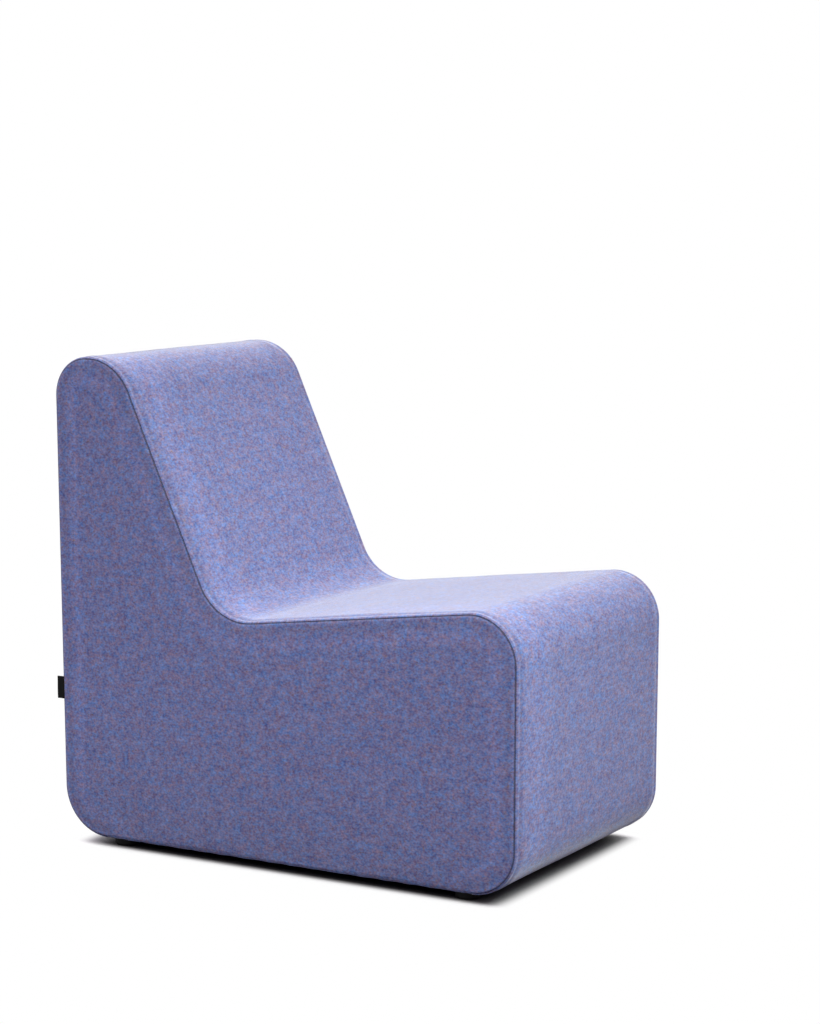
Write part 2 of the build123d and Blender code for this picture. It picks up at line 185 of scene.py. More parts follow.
lamps = {
    # place, aim, width, height, watts, tint, and the angle its light is kept to
    "topSoftbox": ((0.0, 0.2, 2.8), (0.0, 0.0, 0.3), 2.6, 2.6, 25.2, "#fdfff5", 180),
    "rightSoftbox": ((3.2, -0.2, 1.0), (0.0, 0.0, 0.4), 2.4, 1.0, 62.0, "#fcfff6", 180),
    "backSoftbox": ((1.2, 2.6, 2.4), (0.0, 0.0, 0.4), 4.0, 2.4, 65.6, "#fffefd", 180),
    "leftGridBox": ((-0.6, -2.0, 1.9), (-0.35, -0.2, 0.45), 0.6, 0.6, 2.2, "#f3fff6", 42),
}

studio = {
    "worldFill": 1.64, "worldHeights": (0.2, 0.7),  # the room's light rises between these
    "worldTint": "#fff6fa",
    "floorHalf": 14.0,
    "floorTint": "#8a8da1",                         # what the floor sends up: painted a little blue, as light bounced off the cloth
    "floorNear": 0.4, "floorNearReach": 0.5,        # painted shade: beside the chair it sends up less
    "floorShown": (1.33, 1.32, 1.36),
    "shadowInset": (0.021, 0.041), "shadowEdge": 0.036,     # painted shadow: a box inside the footprint in X and Y, and its soft edge; white past it
    "contactReach": 0.16, "contactPower": 1.05,     # painted shade: the shown floor darkens by ambient occlusion this near the cloth
}


def makeCamera():
    # the three columns of the turn are right, up and back, as unit vectors square to each other
    right, up = np.array(camera["right"]), np.array(camera["up"])
    back = np.cross(right, up)
    back /= np.linalg.norm(back)
    turn = np.eye(4)
    turn[:3, 0], turn[:3, 1], turn[:3, 2] = right / np.linalg.norm(right), np.cross(back, right), back
    turn[:3, 3] = camera["place"]
    data = bpy.data.cameras.new("camera")
    data.sensor_width, data.lens = camera["sensor"], camera["lens"]
    data.shift_x, data.shift_y = camera["shiftX"], camera["shiftY"]
    data.clip_start, data.clip_end = camera["clip"]
    seen = putObject("camera", data)
    seen.matrix_world = Matrix(turn.tolist())
    bpy.context.scene.camera = seen


def shownRays(add):
    # 1 for what the camera sees straight, in a mirror or through glass, and 0 for light on its way elsewhere
    path = add("LightPath")
    seen = add("Math", {0: (path, "Is Camera Ray"), 1: (path, "Is Glossy Ray")}, "MAXIMUM")
    return add("Math", {0: seen, 1: (path, "Is Transmission Ray")}, "MAXIMUM")


def makeLights():
    for name, (place, aim, width, height, watts, tint, angle) in lamps.items():
        data = bpy.data.lights.new(name, "AREA")
        data.shape = "RECTANGLE"
        data.size, data.size_y, data.energy = width, height, watts
        data.color, data.spread = linearOf(tint)[:3], math.radians(angle)
        lamp = putObject(name, data)
        lamp.location = place
        lamp.rotation_mode = "QUATERNION"
        lamp.rotation_quaternion = (Vector(aim) - Vector(place)).to_track_quat("-Z", "Y")
        lamp.visible_camera = False
    world = bpy.data.worlds.new("studio")
    bpy.context.scene.world = world
    add = nodesOn(world)
    shown = shownRays(add)
    way = add("SeparateXYZ", {0: (add("TexCoord"), "Generated")})
    low, high = studio["worldHeights"]
    above = add("MapRange",
                {"Value": (way, "Z"), "From Min": low, "From Max": high, "To Max": studio["worldFill"]},
                interpolation_type="SMOOTHSTEP")
    level = add("Mix", {0: shown, 2: above, 3: 1.0})
    hue = add("Mix", {0: shown, 6: linearOf(studio["worldTint"]), 7: (1, 1, 1, 1)}, data_type="RGBA")
    add("OutputWorld", {"Surface": add("Background", {"Color": (hue, 2), "Strength": level})})


def makeFloor():
    half = studio["floorHalf"]
    corners = half * np.array([(-1, -1, 0), (1, -1, 0), (1, 1, 0), (-1, 1, 0)])
    mesh = makeMesh("floor", corners, [(0, 1, 2, 3)])
    putObject("floor", mesh)
    paint = bpy.data.materials.new("paleFloor")
    add = nodesOn(paint)
    # how far a spot lies outside the box of the painted shadow
    inset = studio["shadowInset"]
    aside = add("VectorMath", {0: (add("TexCoord"), "Object")}, "ABSOLUTE")
    over = add("VectorMath", {0: aside, 1: (chair["halfWidth"] - inset[0], chair["rearY"] - inset[1], 0)},
               "SUBTRACT")
    past = add("VectorMath", {0: over, 1: (0, 0, 0)}, "MAXIMUM")
    away = add("VectorMath", {0: past}, "LENGTH"), "Value"
    # shown: a pale lit floor with painted shade from ambient occlusion near the cloth, and white past the
    # painted shadow's box
    cover = add("AmbientOcclusion", {"Distance": studio["contactReach"]}, samples=16)
    deep = add("Math", {0: (cover, "AO"), 1: studio["contactPower"]}, "POWER")
    near = add("BsdfDiffuse", {"Color": add("VectorMath", {0: studio["floorShown"], 3: deep}, "SCALE")})
    white = add("Emission", {"Color": (1, 1, 1, 1), "Strength": 1.0})
    fade = add("MapRange", {"Value": away, "From Max": studio["shadowEdge"]}, interpolation_type="SMOOTHSTEP")
    shown = add("MixShader", {0: fade, 1: near, 2: white})
    # sent up: the floor's own tint, with painted shade lowering it beside the chair
    share = add("MapRange",
                {"Value": away, "From Max": studio["floorNearReach"], "To Min": studio["floorNear"]},
                interpolation_type="SMOOTHSTEP")
    sent = add("VectorMath", {0: linearOf(studio["floorTint"])[:3], 3: share}, "SCALE")
    both = add("MixShader", {0: shownRays(add), 1: add("BsdfDiffuse", {"Color": sent}), 2: shown})
    add("OutputMaterial", {"Surface": both})
    mesh.materials.append(paint)


bpy.context.scene.view_settings.view_transform = "Standard"
makeCamera()
makeLights()
makeFloor()
print("camera, light and floor are set")


def sideOutline():
    # Straight runs joined by tangent arcs. At a corner of turn T and radius R the arc starts R tan(T / 2)
    # before the corner, and its centre lies R inside the run. Returns points, outward normals, the length
    # along, and the index of each named place. It starts in the middle of the bottom run, going rearward.
    low, high, front, rear = (chair[key] for key in ("bottomZ", "topZ", "frontY", "rearY"))
    lean, fall = math.radians(chair["backLean"]), math.radians(chair["seatFall"])
    r = chair["radii"]
    radius = np.array(list(r.values()))
    headY = rear - r["topRear"] - chair["topFlat"] - r["topFront"] * math.tan((math.pi / 2 - lean) / 2)
    upBack = np.array([math.sin(lean), math.cos(lean)])
    alongSeat = np.array([math.cos(fall), -math.sin(fall)])
    head, seatFront = np.array([headY, high]), np.array([front, chair["seatHeight"]])
    crook = head + upBack * (crossOf(seatFront - head, alongSeat) / crossOf(upBack, alongSeat))
    start = np.array([(front + rear) / 2, low])
    corner = np.array([[rear, low], [rear, high], head, crook, seatFront, [front, low]])
    into, away = corner - np.vstack([start, corner[:-1]]), np.vstack([corner[1:], start]) - corner
    into, away = (way / np.linalg.norm(way, axis=1)[:, None] for way in (into, away))
    turn = np.arctan2(crossOf(into, away), (into * away).sum(1))
    cut = radius * np.tan(np.abs(turn) / 2)
    side = np.sign(turn)
    inward = np.stack([-into[:, 1], into[:, 0]], 1) * side[:, None]
    centre = corner - into * cut[:, None] + inward * radius[:, None]
    point, normal, place = [], [], {}
    reached, count = start, 0

    def addRun(finish, way):
        nonlocal count, reached
        steps = max(1, math.ceil(np.linalg.norm(finish - reached) / chair["straightStep"]))
        t = np.arange(steps)[:, None] / steps
        point.append(reached + (finish - reached) * t)
        normal.append(np.repeat([[way[1], -way[0]]], steps, 0))
        count += steps
        reached = finish

    addRun(np.array([rear - chair["endFlap"], low]), into[0])
    place["rearFlap"] = count
    for i, name in enumerate(r):
        addRun(corner[i] - into[i] * cut[i], into[i])
        steps = max(2, math.ceil(math.degrees(abs(turn[i])) / chair["arcStep"]))
        place[name] = (count, count + steps)
        angle = turn[i] * np.arange(steps) / steps
        c, s = np.cos(angle), np.sin(angle)
        out = -inward[i]
        spoke = np.stack([out[0] * c - out[1] * s, out[0] * s + out[1] * c], 1)
        point.append(centre[i] + spoke * radius[i])
        normal.append(spoke * side[i])
        count += steps
        reached = corner[i] + away[i] * cut[i]
    addRun(np.array([front + chair["endFlap"], low]), away[-1])
    place["frontFlap"] = count
    addRun(start, away[-1])
    point, normal = np.vstack(point), np.vstack(normal)
    length = np.concatenate([[0], np.cumsum(np.linalg.norm(np.diff(point, axis=0), axis=1))])
    return point, normal, length, place


outlinePoint, outlineNormal, outlineLength, outlinePlace = sideOutline()
wholeLength = outlineLength[-1] + np.linalg.norm(outlinePoint[-1] - outlinePoint[0])
rollAngle = math.acos(1 - chair["seamInset"] / chair["edgeRadius"])      # seam, from the band's face
rollLength = chair["edgeRadius"] * rollAngle                             # seam to the band's flat
sideRollLength = chair["edgeRadius"] * (math.pi / 2 - rollAngle)         # seam to the side's flat
bottomFront = chair["frontY"] + chair["radii"]["frontBottom"]            # the bottom's straight run, in Y
bottomRear = chair["rearY"] - chair["radii"]["rearBottom"]
print("outline has", len(outlinePoint), "points over", round(float(wholeLength), 3), "m")


def fillInside(border, out, step, start, clear):
    # A staggered grid of points inside a closed line and clear of it, and the triangles that join the two;
    # its rows lie half the root of 3 of a step apart. Returns points, distances to the line and triangles.
    ys, zs = (np.arange(border[:, i].min() + step * start, border[:, i].max(), step * pitch)
              for i, pitch in ((0, 1), (1, 0.866)))
    gy, gz = np.meshgrid(ys, zs)
    gy = gy + (np.arange(len(zs)) % 2)[:, None] * step / 2
    field = np.stack([gy.ravel(), gz.ravel()], 1)
    gap = field[:, None] - border[None]
    distance = np.sqrt((gap ** 2).sum(-1))
    nearest = distance.argmin(1)
    inside = (gap[np.arange(len(field)), nearest] * out[nearest]).sum(1) < 0
    keep = inside & (distance.min(1) > step * clear)
    plan = [tuple(p) for p in np.vstack([border, field[keep]]).tolist()]
    ring = np.arange(len(border))
    tris = delaunay_2d_cdt(plan, np.stack([ring, (ring + 1) % len(ring)], 1).tolist(), [], 1, 1e-7)[2]
    return field[keep], distance.min(1)[keep], np.array([list(t) for t in tris])


seam = {
    "depth": 1.35 * mm,            # cloth turned in at the stitch line
    "lip": 2.3 * mm,               # width of the rounded lip each side of it
    "lipRound": 0.995,             # a little short of upright at the stitch line
    "gap": 0.08 * mm,
    "thickness": 1.58 * mm,        # wool and its lining
    "least": 0.25 * mm,            # thickness left at the stitch line
    "shallow": 0.75,               # share of the groove that the turned-under ends lose
}


def seamGroove(distance):
    # a quarter-round lip: depth times (1 - root(1 - (1 - d / lip) squared)) within the lip, else 0
    t = np.clip(1 - np.maximum(distance, 0) / seam["lip"], 0, 1)
    return seam["depth"] * (1 - np.sqrt(1 - t * t * seam["lipRound"]))


def cloudy(a, b, seed, size, count=14, longer=(0.7, 2.2)):
    # slow uneven lie of the cloth: a few seeded plane waves added up, about one unit high
    rng = np.random.default_rng(seed)
    angle = rng.uniform(0, 2 * math.pi, count)
    wave = size * rng.uniform(*longer, count)
    phase = rng.uniform(0, 2 * math.pi, count)
    total = np.zeros(np.broadcast(a, b).shape)
    for k in range(count):
        along = a * math.cos(angle[k]) + b * math.sin(angle[k])
        total = total + np.sin(along * 2 * math.pi / wave[k] + phase[k])
    return total / math.sqrt(count)


settle = {
    # the empty cover, drawn tight over its foam: Cloth swells a coarse closed block that its seams hold
    "along": 15 * mm, "across": 33, "sideGrid": 17 * mm, "gridStart": 0.5, "gridClear": 0.6,
    "heldBelow": 1 * mm,           # and at its stapled underside
    "frames": 20,
    "cloth": {"quality": 6, "mass": 0.35, "vertex_group_mass": "held", "pin_stiffness": 1.0,
              "tension_stiffness": 30.0, "compression_stiffness": 30.0, "shear_stiffness": 15.0,
              "bending_stiffness": 6.0, "use_pressure": True, "uniform_pressure_force": 0.25},
    "cap": 1.9 * mm,               # foam gives no more than this
    "pressedIn": 0.25,             # and this share of a move inwards
    "spread": 13 * mm,             # smoothing when it is read back
    "ease": 30 * mm,               # to nothing at the seam
}


def settleCover():
    # Rows of the outline are carried from side to side, and each side is filled with a staggered field, to
    # make one closed block. Returns each point's place and how far it moved outwards, for band and side.
    marks = np.searchsorted(outlineLength, np.arange(0, wholeLength - settle["along"] / 2, settle["along"]))
    loop, out = outlinePoint[marks], outlineNormal[marks]
    rows, columns, half = len(loop), settle["across"], chair["halfWidth"]
    x = np.linspace(-half, half, columns)
    grid = np.empty((rows, columns, 3))
    grid[..., 0], grid[..., 1:] = x[None], loop[:, None]
    field, _, tris = fillInside(loop, out, settle["sideGrid"], settle["gridStart"], settle["gridClear"])
    start, i = rows * columns, np.arange(columns - 1)
    last = start - columns + i
    faces = np.vstack([quadsOf(rows, columns), np.stack([last, last + 1, i + 1, i], 1)]).tolist()
    rim = np.arange(rows) * columns
    for first, edge in ((start, rim), (start + len(field), rim + columns - 1)):
        faces += np.concatenate([edge, first + np.arange(len(field))])[tris].tolist()
    flank = [np.column_stack([np.full(len(field), side * half), field]) for side in (-1, 1)]
    points = np.vstack([grid.reshape(-1, 3), *flank])
    mesh = makeMesh("emptyCover", points, faces)
    turnOut(mesh)
    cover = putObject("emptyCover", mesh)
    sewn = np.zeros((rows, columns), bool)
    sewn[:, [0, -1]] = True
    sewn[loop[:, 1] < chair["bottomZ"] + settle["heldBelow"]] = True
    cover.vertex_groups.new(name="held").add(np.flatnonzero(sewn.ravel()).tolist(), 1.0, "REPLACE")
    cloth = cover.modifiers.new("cloth", "CLOTH")
    for key, value in settle["cloth"].items():
        setattr(cloth.settings, key, value)
    cloth.settings.effector_weights.gravity = 0
    cloth.collision_settings.use_collision = False
    cloth.point_cache.frame_start, cloth.point_cache.frame_end = 1, settle["frames"]
    for count in range(1, settle["frames"] + 1):
        bpy.context.scene.frame_set(count)
    made = cover.evaluated_get(bpy.context.evaluated_depsgraph_get()).data
    moved = np.empty(len(made.vertices) * 3)
    made.vertices.foreach_get("co", moved)
    moved = moved.reshape(-1, 3) - points
    bpy.context.scene.frame_set(1)
    bpy.data.objects.remove(cover)
    bpy.data.meshes.remove(mesh)
    bandMove = (moved[:start].reshape(rows, columns, 3)[..., 1:] * out[:, None]).sum(-1)
    sideMove = (moved[start + len(field):, 0] - moved[start:start + len(field), 0]) / 2
    limit = settle["cap"]
    print("cover settled: band moved", round(float(bandMove.max()) * 1000, 2), "side",
          round(float(sideMove.max()) * 1000, 2), "mm before the foam's cap of", limit * 1000)
    bandMove, sideMove = limit * np.tanh(bandMove / limit), limit * np.tanh(sideMove / limit)
    bandMove = np.maximum(bandMove, settle["pressedIn"] * bandMove)
    sides = np.vstack([field, loop]), np.concatenate([sideMove, np.zeros(rows)])
    return (outlineLength[marks], x, bandMove), sides


settled = settleCover()


def bandCrown(run, x, folded):
    # between the simulation's points, straight blends both ways, eased to nothing at the seam
    if settled is None:
        return band["crown"] * smooth(folded / band["crownReach"]) + 0 * run[:, None]
    marks, places, moved = settled[0]
    marks, moved = np.append(marks, wholeLength), np.vstack([moved, moved[:1]])
    i = np.clip(np.searchsorted(marks, run, side="right") - 1, 0, len(marks) - 2)
    j = np.clip(np.searchsorted(places, x, side="right") - 1, 0, len(places) - 2)
    u = ((run - marks[i]) / (marks[i + 1] - marks[i]))[:, None]
    v = np.clip((x - places[j]) / (places[j + 1] - places[j]), 0, 1)
    low, high = (moved[k][:, j] * (1 - v) + moved[k][:, j + 1] * v for k in (i, i + 1))
    return (low * (1 - u) + high * u) * smooth(folded / settle["ease"])


def sideCrown(y, z, away):
    # the mean of the simulation's points nearby, weighted by a bell curve of their distance
    if settled is None:
        return sideCover["crown"] * smooth(away / sideCover["crownReach"])
    places, moved = settled[1]
    spots = np.stack([y, z], 1)
    total = np.empty(len(spots))
    for part in np.array_split(np.arange(len(spots)), len(spots) // 2000 + 1):
        weight = np.exp(-((spots[part, None] - places[None]) ** 2).sum(-1) / settle["spread"] ** 2)
        total[part] = weight @ moved / weight.sum(1)
    return total * smooth(away / settle["ease"])


band = {
    "columns": [0, 0.12, 0.3, 0.6, 1.0, 1.5, 2.1, 2.8, 3.6, 4.5, 5.5, 6.6, 7.8, 9.1, 10.5, 12, 13.7, 15.6,
                17.8, 20.5, 24, 28.5, 34.5, 43, 56, 76],      # mm from the seam
    "middleColumns": 13,
    "innerColumns": 14,
    # height, distance from the seam and width: the seam allowance under the strip, the dip beside it, and the
    # foam's own edge
    "ridges": [(0.3 * mm, 4.2 * mm, 2.4 * mm), (-0.6 * mm, 11.0 * mm, 5.0 * mm),
               (0.6 * mm, 22.0 * mm, 9.0 * mm)],
    "crown": 1.1 * mm, "crownReach": 90 * mm,
    "cloud": 0.22 * mm, "cloudSize": 0.16, "cloudEase": 50 * mm, "seed": 11,
    "cornerRun": 11 * mm,          # the turned-under end narrows over this length
    "rightSeamShadeFree": 120 * mm,           # the painted shade and highlight beside the seam show at the left seam only: on the right half the distance reads at least this
    "stretch": 0.8,                # pulled wider across than along, and its flecks with it
}


def bandSurface():
    # Each row is one closed section of the cloth: over the top from seam to seam, then back underneath.
    # A point is outline + normal * (height - sink), with x running in from the seam round the edge's arc.
    rows = np.arange(outlinePlace["rearFlap"], outlinePlace["frontFlap"] + 1)
    spine, out, run = outlinePoint[rows], outlineNormal[rows], outlineLength[rows]
    r, half = chair["edgeRadius"], chair["halfWidth"]
    reach = half - r + rollLength                        # seam to the middle, over the surface
    near = np.array(band["columns"]) * mm
    middle = np.linspace(near[-1], 2 * reach - near[-1], band["middleColumns"] + 2)[1:-1]
    outer = np.concatenate([near, middle, 2 * reach - near[::-1]])
    inner = np.linspace(2 * reach, 0, band["innerColumns"])
    inner[0], inner[-1] = 2 * reach - seam["gap"], seam["gap"]
    cross = np.concatenate([outer, inner])
    # from the seam: the arc's angle falls to 0 over rollLength, and then the section is flat
    edge = np.minimum(cross, 2 * reach - cross)
    angle = np.maximum(rollAngle - edge / r, 0)
    sign = np.where(cross < reach, -1.0, 1.0)
    x = np.where(edge < rollLength, half - r * (1 - np.sin(angle)), reach - edge) * sign
    sink = r * (1 - np.cos(angle))

    folded, foldedIn = edge[:len(outer)], edge[len(outer):]
    height = sum(high * hump(folded, at, wide) for high, at, wide in band["ridges"])
    level = height + band["cloud"] * smooth(folded / band["cloudEase"]) * cloudy(
        outer, run[:, None], band["seed"], band["cloudSize"])
    level = (level + softHollows(run)[:, None] * smooth(folded / settle["ease"])
             + bandCrown(run, x[:len(outer)], folded))
    under = flapShare(spine)[:, None]
    level = level * (1 - under) - seamGroove(folded) * (1 - seam["shallow"] * under)
    depth = np.where(foldedIn < 0.5 * mm, seam["depth"] + seam["least"], seam["thickness"])
    level = np.concatenate([level, np.repeat(-depth[None], len(rows), 0)], 1)

    rise = level * np.cos(angle) - sink
    sideways = x + sign * level * np.sin(angle) - sign * seam["gap"] / 2
    # turned-under ends lie flat and narrow to the side flaps
    flatHalf = half - chair["sideFlap"]
    flatX = sign * (flatHalf - edge * flatHalf / reach)
    sideways = sideways * (1 - under) + flatX * under
    rise = rise * (1 - under) + level * under
    points = np.stack([sideways, spine[:, :1] + out[:, :1] * rise, spine[:, 1:] + out[:, 1:] * rise], -1)
    uv = np.stack(np.broadcast_arrays((cross - reach) * band["stretch"], run[:, None]), -1)
    return points, uv, edge, np.where(cross < reach, edge, np.maximum(edge, band["rightSeamShadeFree"]))


def flapShare(spine):
    # 0 on the shown cover, easing to 1 just past the arc's end on the underside
    bottom = spine[:, 1] < chair["bottomZ"] + 0.01 * mm
    return np.where(bottom, smooth(fromCurves(spine[:, 0]) / band["cornerRun"]), 0.0)


def fromCurves(y):
    # along the bottom's straight run, from the nearer of the two curves that end it
    return np.minimum(y - bottomFront, bottomRear - y)


hollows = {
    # named place: depth, distance past it and width of the slack; a lift is less than nought
    "seatFrontEnd": (0.9 * mm, 26 * mm, 20 * mm),
    "topFrontEnd": (0.7 * mm, 28 * mm, 22 * mm),
    "crookStart": (0.5 * mm, -22 * mm, 20 * mm),
    "crookMiddle": (-1.1 * mm, 0.0, 46 * mm),
    "seatMiddle": (-1.2 * mm, 0.0, 80 * mm),
    "backMiddle": (-1.0 * mm, 0.0, 90 * mm),
}


def softHollows(run):
    # shallow bells: below nought where the cloth bridges from a curve to a flat face, above it where the
    # cloth spans the crook and where the foam of seat and back is fullest
    top, crook, seat = (outlineLength[list(outlinePlace[key])] for key in ("topFront", "crook", "seatFront"))
    at = {"seatFrontEnd": seat[1], "topFrontEnd": top[1], "crookStart": crook[0], "crookMiddle": crook.mean(),
          "seatMiddle": (crook[1] + seat[0]) / 2, "backMiddle": (top[1] + crook[0]) / 2}
    return -sum(deep * hump(run, at[name] + past, wide) for name, (deep, past, wide) in hollows.items())


def makeBand():
    points, uv, edge, nap = bandSurface()
    rows, columns = points.shape[:2]
    faces = quadsOf(rows, columns, closeColumns=True).tolist()
    faces.append(list(range(columns)))
    faces.append(list(range((rows - 1) * columns, rows * columns))[::-1])
    # the second distance places the painted shade and highlight beside the seam
    marks = {"seamDistance": np.tile(edge, rows), "pressedShadeDistance": np.tile(nap, rows)}
    return makePiece("woolBand", points, faces, uv, ["cover_band"], marks)


sideCover = {
    "rollRows": [0, 0.12, 0.3, 0.6, 1.0, 1.5, 2.1, 2.8, 3.6, 4.5],        # mm from the seam, over the roll
    "faceRows": [1.2, 2.8, 4.8, 7.5, 11, 15, 20, 26, 33],                 # mm inside the flat face's edge
    "hemRows": 10,
    "flapRows": 8,
    "grid": 9.5 * mm, "gridStart": 1, "gridClear": 0.55,                  # the points inside the face
    "pull": 0.45 * mm, "pullAt": 7.5 * mm, "pullWidth": 5.5 * mm,         # drawn in beside the seam
    "crown": 1.3 * mm, "crownReach": 120 * mm,
    "cloud": 0.28 * mm, "cloudSize": 0.15, "cloudEase": 50 * mm, "seed": 23,
    "staplePitch": 41 * mm, "stapleTuck": 0.75 * mm, "stapleFade": 34 * mm, "stapleEase": 40 * mm,
    "wander": (5 * mm, 0.173, 1.3), "uneven": (0.25, 0.261, 0.4),         # of staples: height, length, phase
    "slant": 9 * mm,               # the flap's ends draw in by this
    "pressedShadeTurn": 24 * mm, "pressedShadeQuicken": 3,            # past here the painted shade and highlight beside the seam end sooner than on the band
    "sheet": 1.0 * mm,             # thickness
}


def stapleTuck(y, above):
    # the hem is stapled at a pitch: it draws in at each staple, fading up the face
    own = sideCover
    wander, uneven = (high * np.sin(2 * math.pi * y / long + phase) for high, long, phase in
                      (own["wander"], own["uneven"]))
    beat = 0.5 + 0.5 * np.cos(2 * math.pi * (y + wander) / own["staplePitch"])
    ends = smooth((y - bottomFront) / own["stapleEase"]) * smooth((bottomRear - y) / own["stapleEase"])
    fade = np.exp(-np.maximum(above, 0) / own["stapleFade"])
    return own["stapleTuck"] * beat * (1 - own["uneven"][0] + uneven) * ends * fade


def sidePlace(developed, spine, out, away):
    # Developed distance runs out from the flat face's edge: the arc's angle falls from a right angle there to
    # 0 under the hem, and x turns inwards beyond it. Lift is square to the cloth.
    own, r, half = sideCover, chair["edgeRadius"], chair["halfWidth"]
    angle = np.clip(math.pi / 2 - developed / r, 0, math.pi / 2)
    beyond = np.maximum(developed - r * math.pi / 2, 0)
    x = np.where(developed > 0, half - r * (1 - np.sin(angle)), half) - beyond
    sink = np.where(developed > 0, r * (1 - np.cos(angle)), r - developed)
    sink = np.where(beyond > 0, 0, sink)
    y, z = (spine[..., i] - out[..., i] * sink for i in (0, 1))
    lift = -seamGroove(away) - own["pull"] * hump(away, own["pullAt"], own["pullWidth"])
    lift = lift - stapleTuck(y, z - chair["bottomZ"]) * (beyond <= 0)
    flat = developed[:, 0] <= 0
    fy, fz, fa = y[flat], z[flat], np.broadcast_to(away, y.shape)[flat]
    lift[flat] += sideCrown(fy.ravel(), fz.ravel(), fa.ravel()).reshape(fy.shape)
    lift[flat] += own["cloud"] * smooth(fa / own["cloudEase"]) * cloudy(
        fy, fz, own["seed"], own["cloudSize"])
    tilt = lift * np.cos(angle)
    return np.stack([x + lift * np.sin(angle), y + out[..., 0] * tilt, z + out[..., 1] * tilt], -1)


def sideSurface():
    # Rings run from the seam over the rounded edge and on inside the face, as curves parallel to the
    # outline; a triangulated field of points fills the rest, and the hem goes on under the bottom run.
    own, r, total = sideCover, chair["edgeRadius"], len(outlinePoint)
    hemStart, hemEnd = outlinePlace["frontBottom"][1], outlinePlace["rearBottom"][0]
    index = np.arange(total)
    bottom = (index >= hemStart) | (index <= hemEnd)
    roll, face = np.array(own["rollRows"]) * mm, np.array(own["faceRows"]) * mm
    rows = np.concatenate([sideRollLength - roll, [0.0], -face])[:, None]
    alongHem = fromCurves(outlinePoint[:, 0])
    flat = outlinePoint - outlineNormal * r

    def seamDistance(developed, aside, onBottom):
        # straight to the seam, or round its end where the bottom has no seam
        plain = sideRollLength - developed
        return np.where(onBottom, np.hypot(np.maximum(aside, 0), np.maximum(plain, 0)), plain)

    away = seamDistance(rows, alongHem, bottom)
    ring = sidePlace(rows, outlinePoint[None], outlineNormal[None], away)
    ringUv = flat + outlineNormal * rows[..., None]
    field, clearance, tris = fillInside(ringUv[-1], outlineNormal, own["grid"], own["gridStart"],
                                        own["gridClear"])
    fieldAway = clearance + face[-1] + sideRollLength
    inner = sidePlace(np.zeros((1, 1)), field[None], 0 * field[None], fieldAway[None])
    # the hem: from the seam's level round to the underside and in to the flap's end
    hemIndex = np.concatenate([np.arange(hemStart, total), np.arange(0, hemEnd + 1)])
    quarter = r * math.pi / 2
    flap = np.linspace(quarter, chair["sideFlap"] - r + quarter, own["flapRows"] + 1)[1:]
    rest = np.concatenate([np.linspace(sideRollLength, quarter, own["hemRows"]), flap])[:, None]
    hemAway = seamDistance(rest, alongHem[hemIndex], True)
    hem = sidePlace(rest, outlinePoint[hemIndex][None], outlineNormal[hemIndex][None], hemAway)
    middle, half = (bottomFront + bottomRear) / 2, (bottomRear - bottomFront) / 2
    squeeze = 1 - own["slant"] / half * np.clip((rest - quarter) / chair["sideFlap"], 0, 1)
    hem[..., 1] = middle + (hem[..., 1] - middle) * squeeze
    hemUv = flat[hemIndex] + outlineNormal[hemIndex] * rest[..., None]

    ringCount = len(rows) * total
    renumber = np.concatenate([ringCount - total + index, ringCount + np.arange(len(field))])
    faces = quadsOf(len(rows), total, closeColumns=True).tolist() + renumber[tris].tolist()
    faces += quadsOf(len(rest), len(hemIndex), start=ringCount + len(field)).tolist()
    points = np.vstack([part.reshape(-1, 3) for part in (ring, inner, hem)])
    uv = np.vstack([part.reshape(-1, 2) for part in (ringUv, field, hemUv)])
    return points, faces, uv, np.concatenate([away.ravel(), fieldAway, hemAway.ravel()])


def makeSides():
    points, faces, uv, edge = sideSurface()
    # distance for the painted shade and highlight beside the seam, ending sooner past the turn
    nap = edge + sideCover["pressedShadeQuicken"] * np.maximum(edge - sideCover["pressedShadeTurn"], 0)
    made = []
    for side, name in ((-1, "Left"), (1, "Right")):
        piece = makePiece("woolSide" + name, points * (side, 1, 1), faces, uv,
                          ["cover_side_" + name.lower()], {"seamDistance": edge, "pressedShadeDistance": nap},
                          weld=0.005 * mm)
        wall = piece.modifiers.new("cloth", "SOLIDIFY")
        wall.thickness, wall.offset, wall.use_even_offset = sideCover["sheet"], -1, False
        made.append(piece)
    return made


woolBand = makeBand()
print("band has", len(woolBand.data.polygons), "faces")
woolSides = makeSides()
print("each side has", len(woolSides[0].data.polygons), "faces")


def newPaint(name, ownMap=False):
    # with its coordinates: the cloth's own map, or the piece's place in metres
    paint = bpy.data.materials.new(name)
    add = nodesOn(paint)
    return paint, add, add("UVMap", uv_map="cloth") if ownMap else (add("TexCoord"), "Object")


def layPattern(add, coords, kind, sizes, detail=None, offset=0.0):
    # a texture whose features have the given sizes in mm along X, Y and Z
    scale = tuple(1000 / size for size in sizes)
    laid = add("Mapping", {"Vector": coords, "Location": (offset,) * 3, "Scale": scale})
    return add("Tex" + kind, {"Vector": laid, "Scale": 1.0, **({"Detail": detail} if detail else {})})


def sines(add, coords, *waves):
    # a sine wave for each axis and its pace, in radians per metre
    apart = add("SeparateXYZ", {0: coords})
    turns = [add("Math", {0: (apart, axis), 1: pace}, "MULTIPLY") for axis, pace in waves]
    return [add("Math", {0: turn}, "SINE") for turn in turns]


def shadePaint(add, finish, colour, height, **linked):
    # the finish's own shader values over a bump, whose strength and depth in mm the finish gives
    strength, deep = finish["bump"]
    bump = add("Bump", {"Height": height, "Strength": strength, "Distance": deep * mm})
    shader = add("BsdfPrincipled", {"Base Color": colour, "Normal": bump, **finish["shader"], **linked})
    add("OutputMaterial", {"Surface": shader})


def rampPaint(add, finish, level, height=None):
    # the level picks a colour from the finish's stops, and raises the bump unless a height is given
    shadePaint(add, finish, add("ValToRGB", {"Fac": level}, stops=finish["stops"]), height or level)


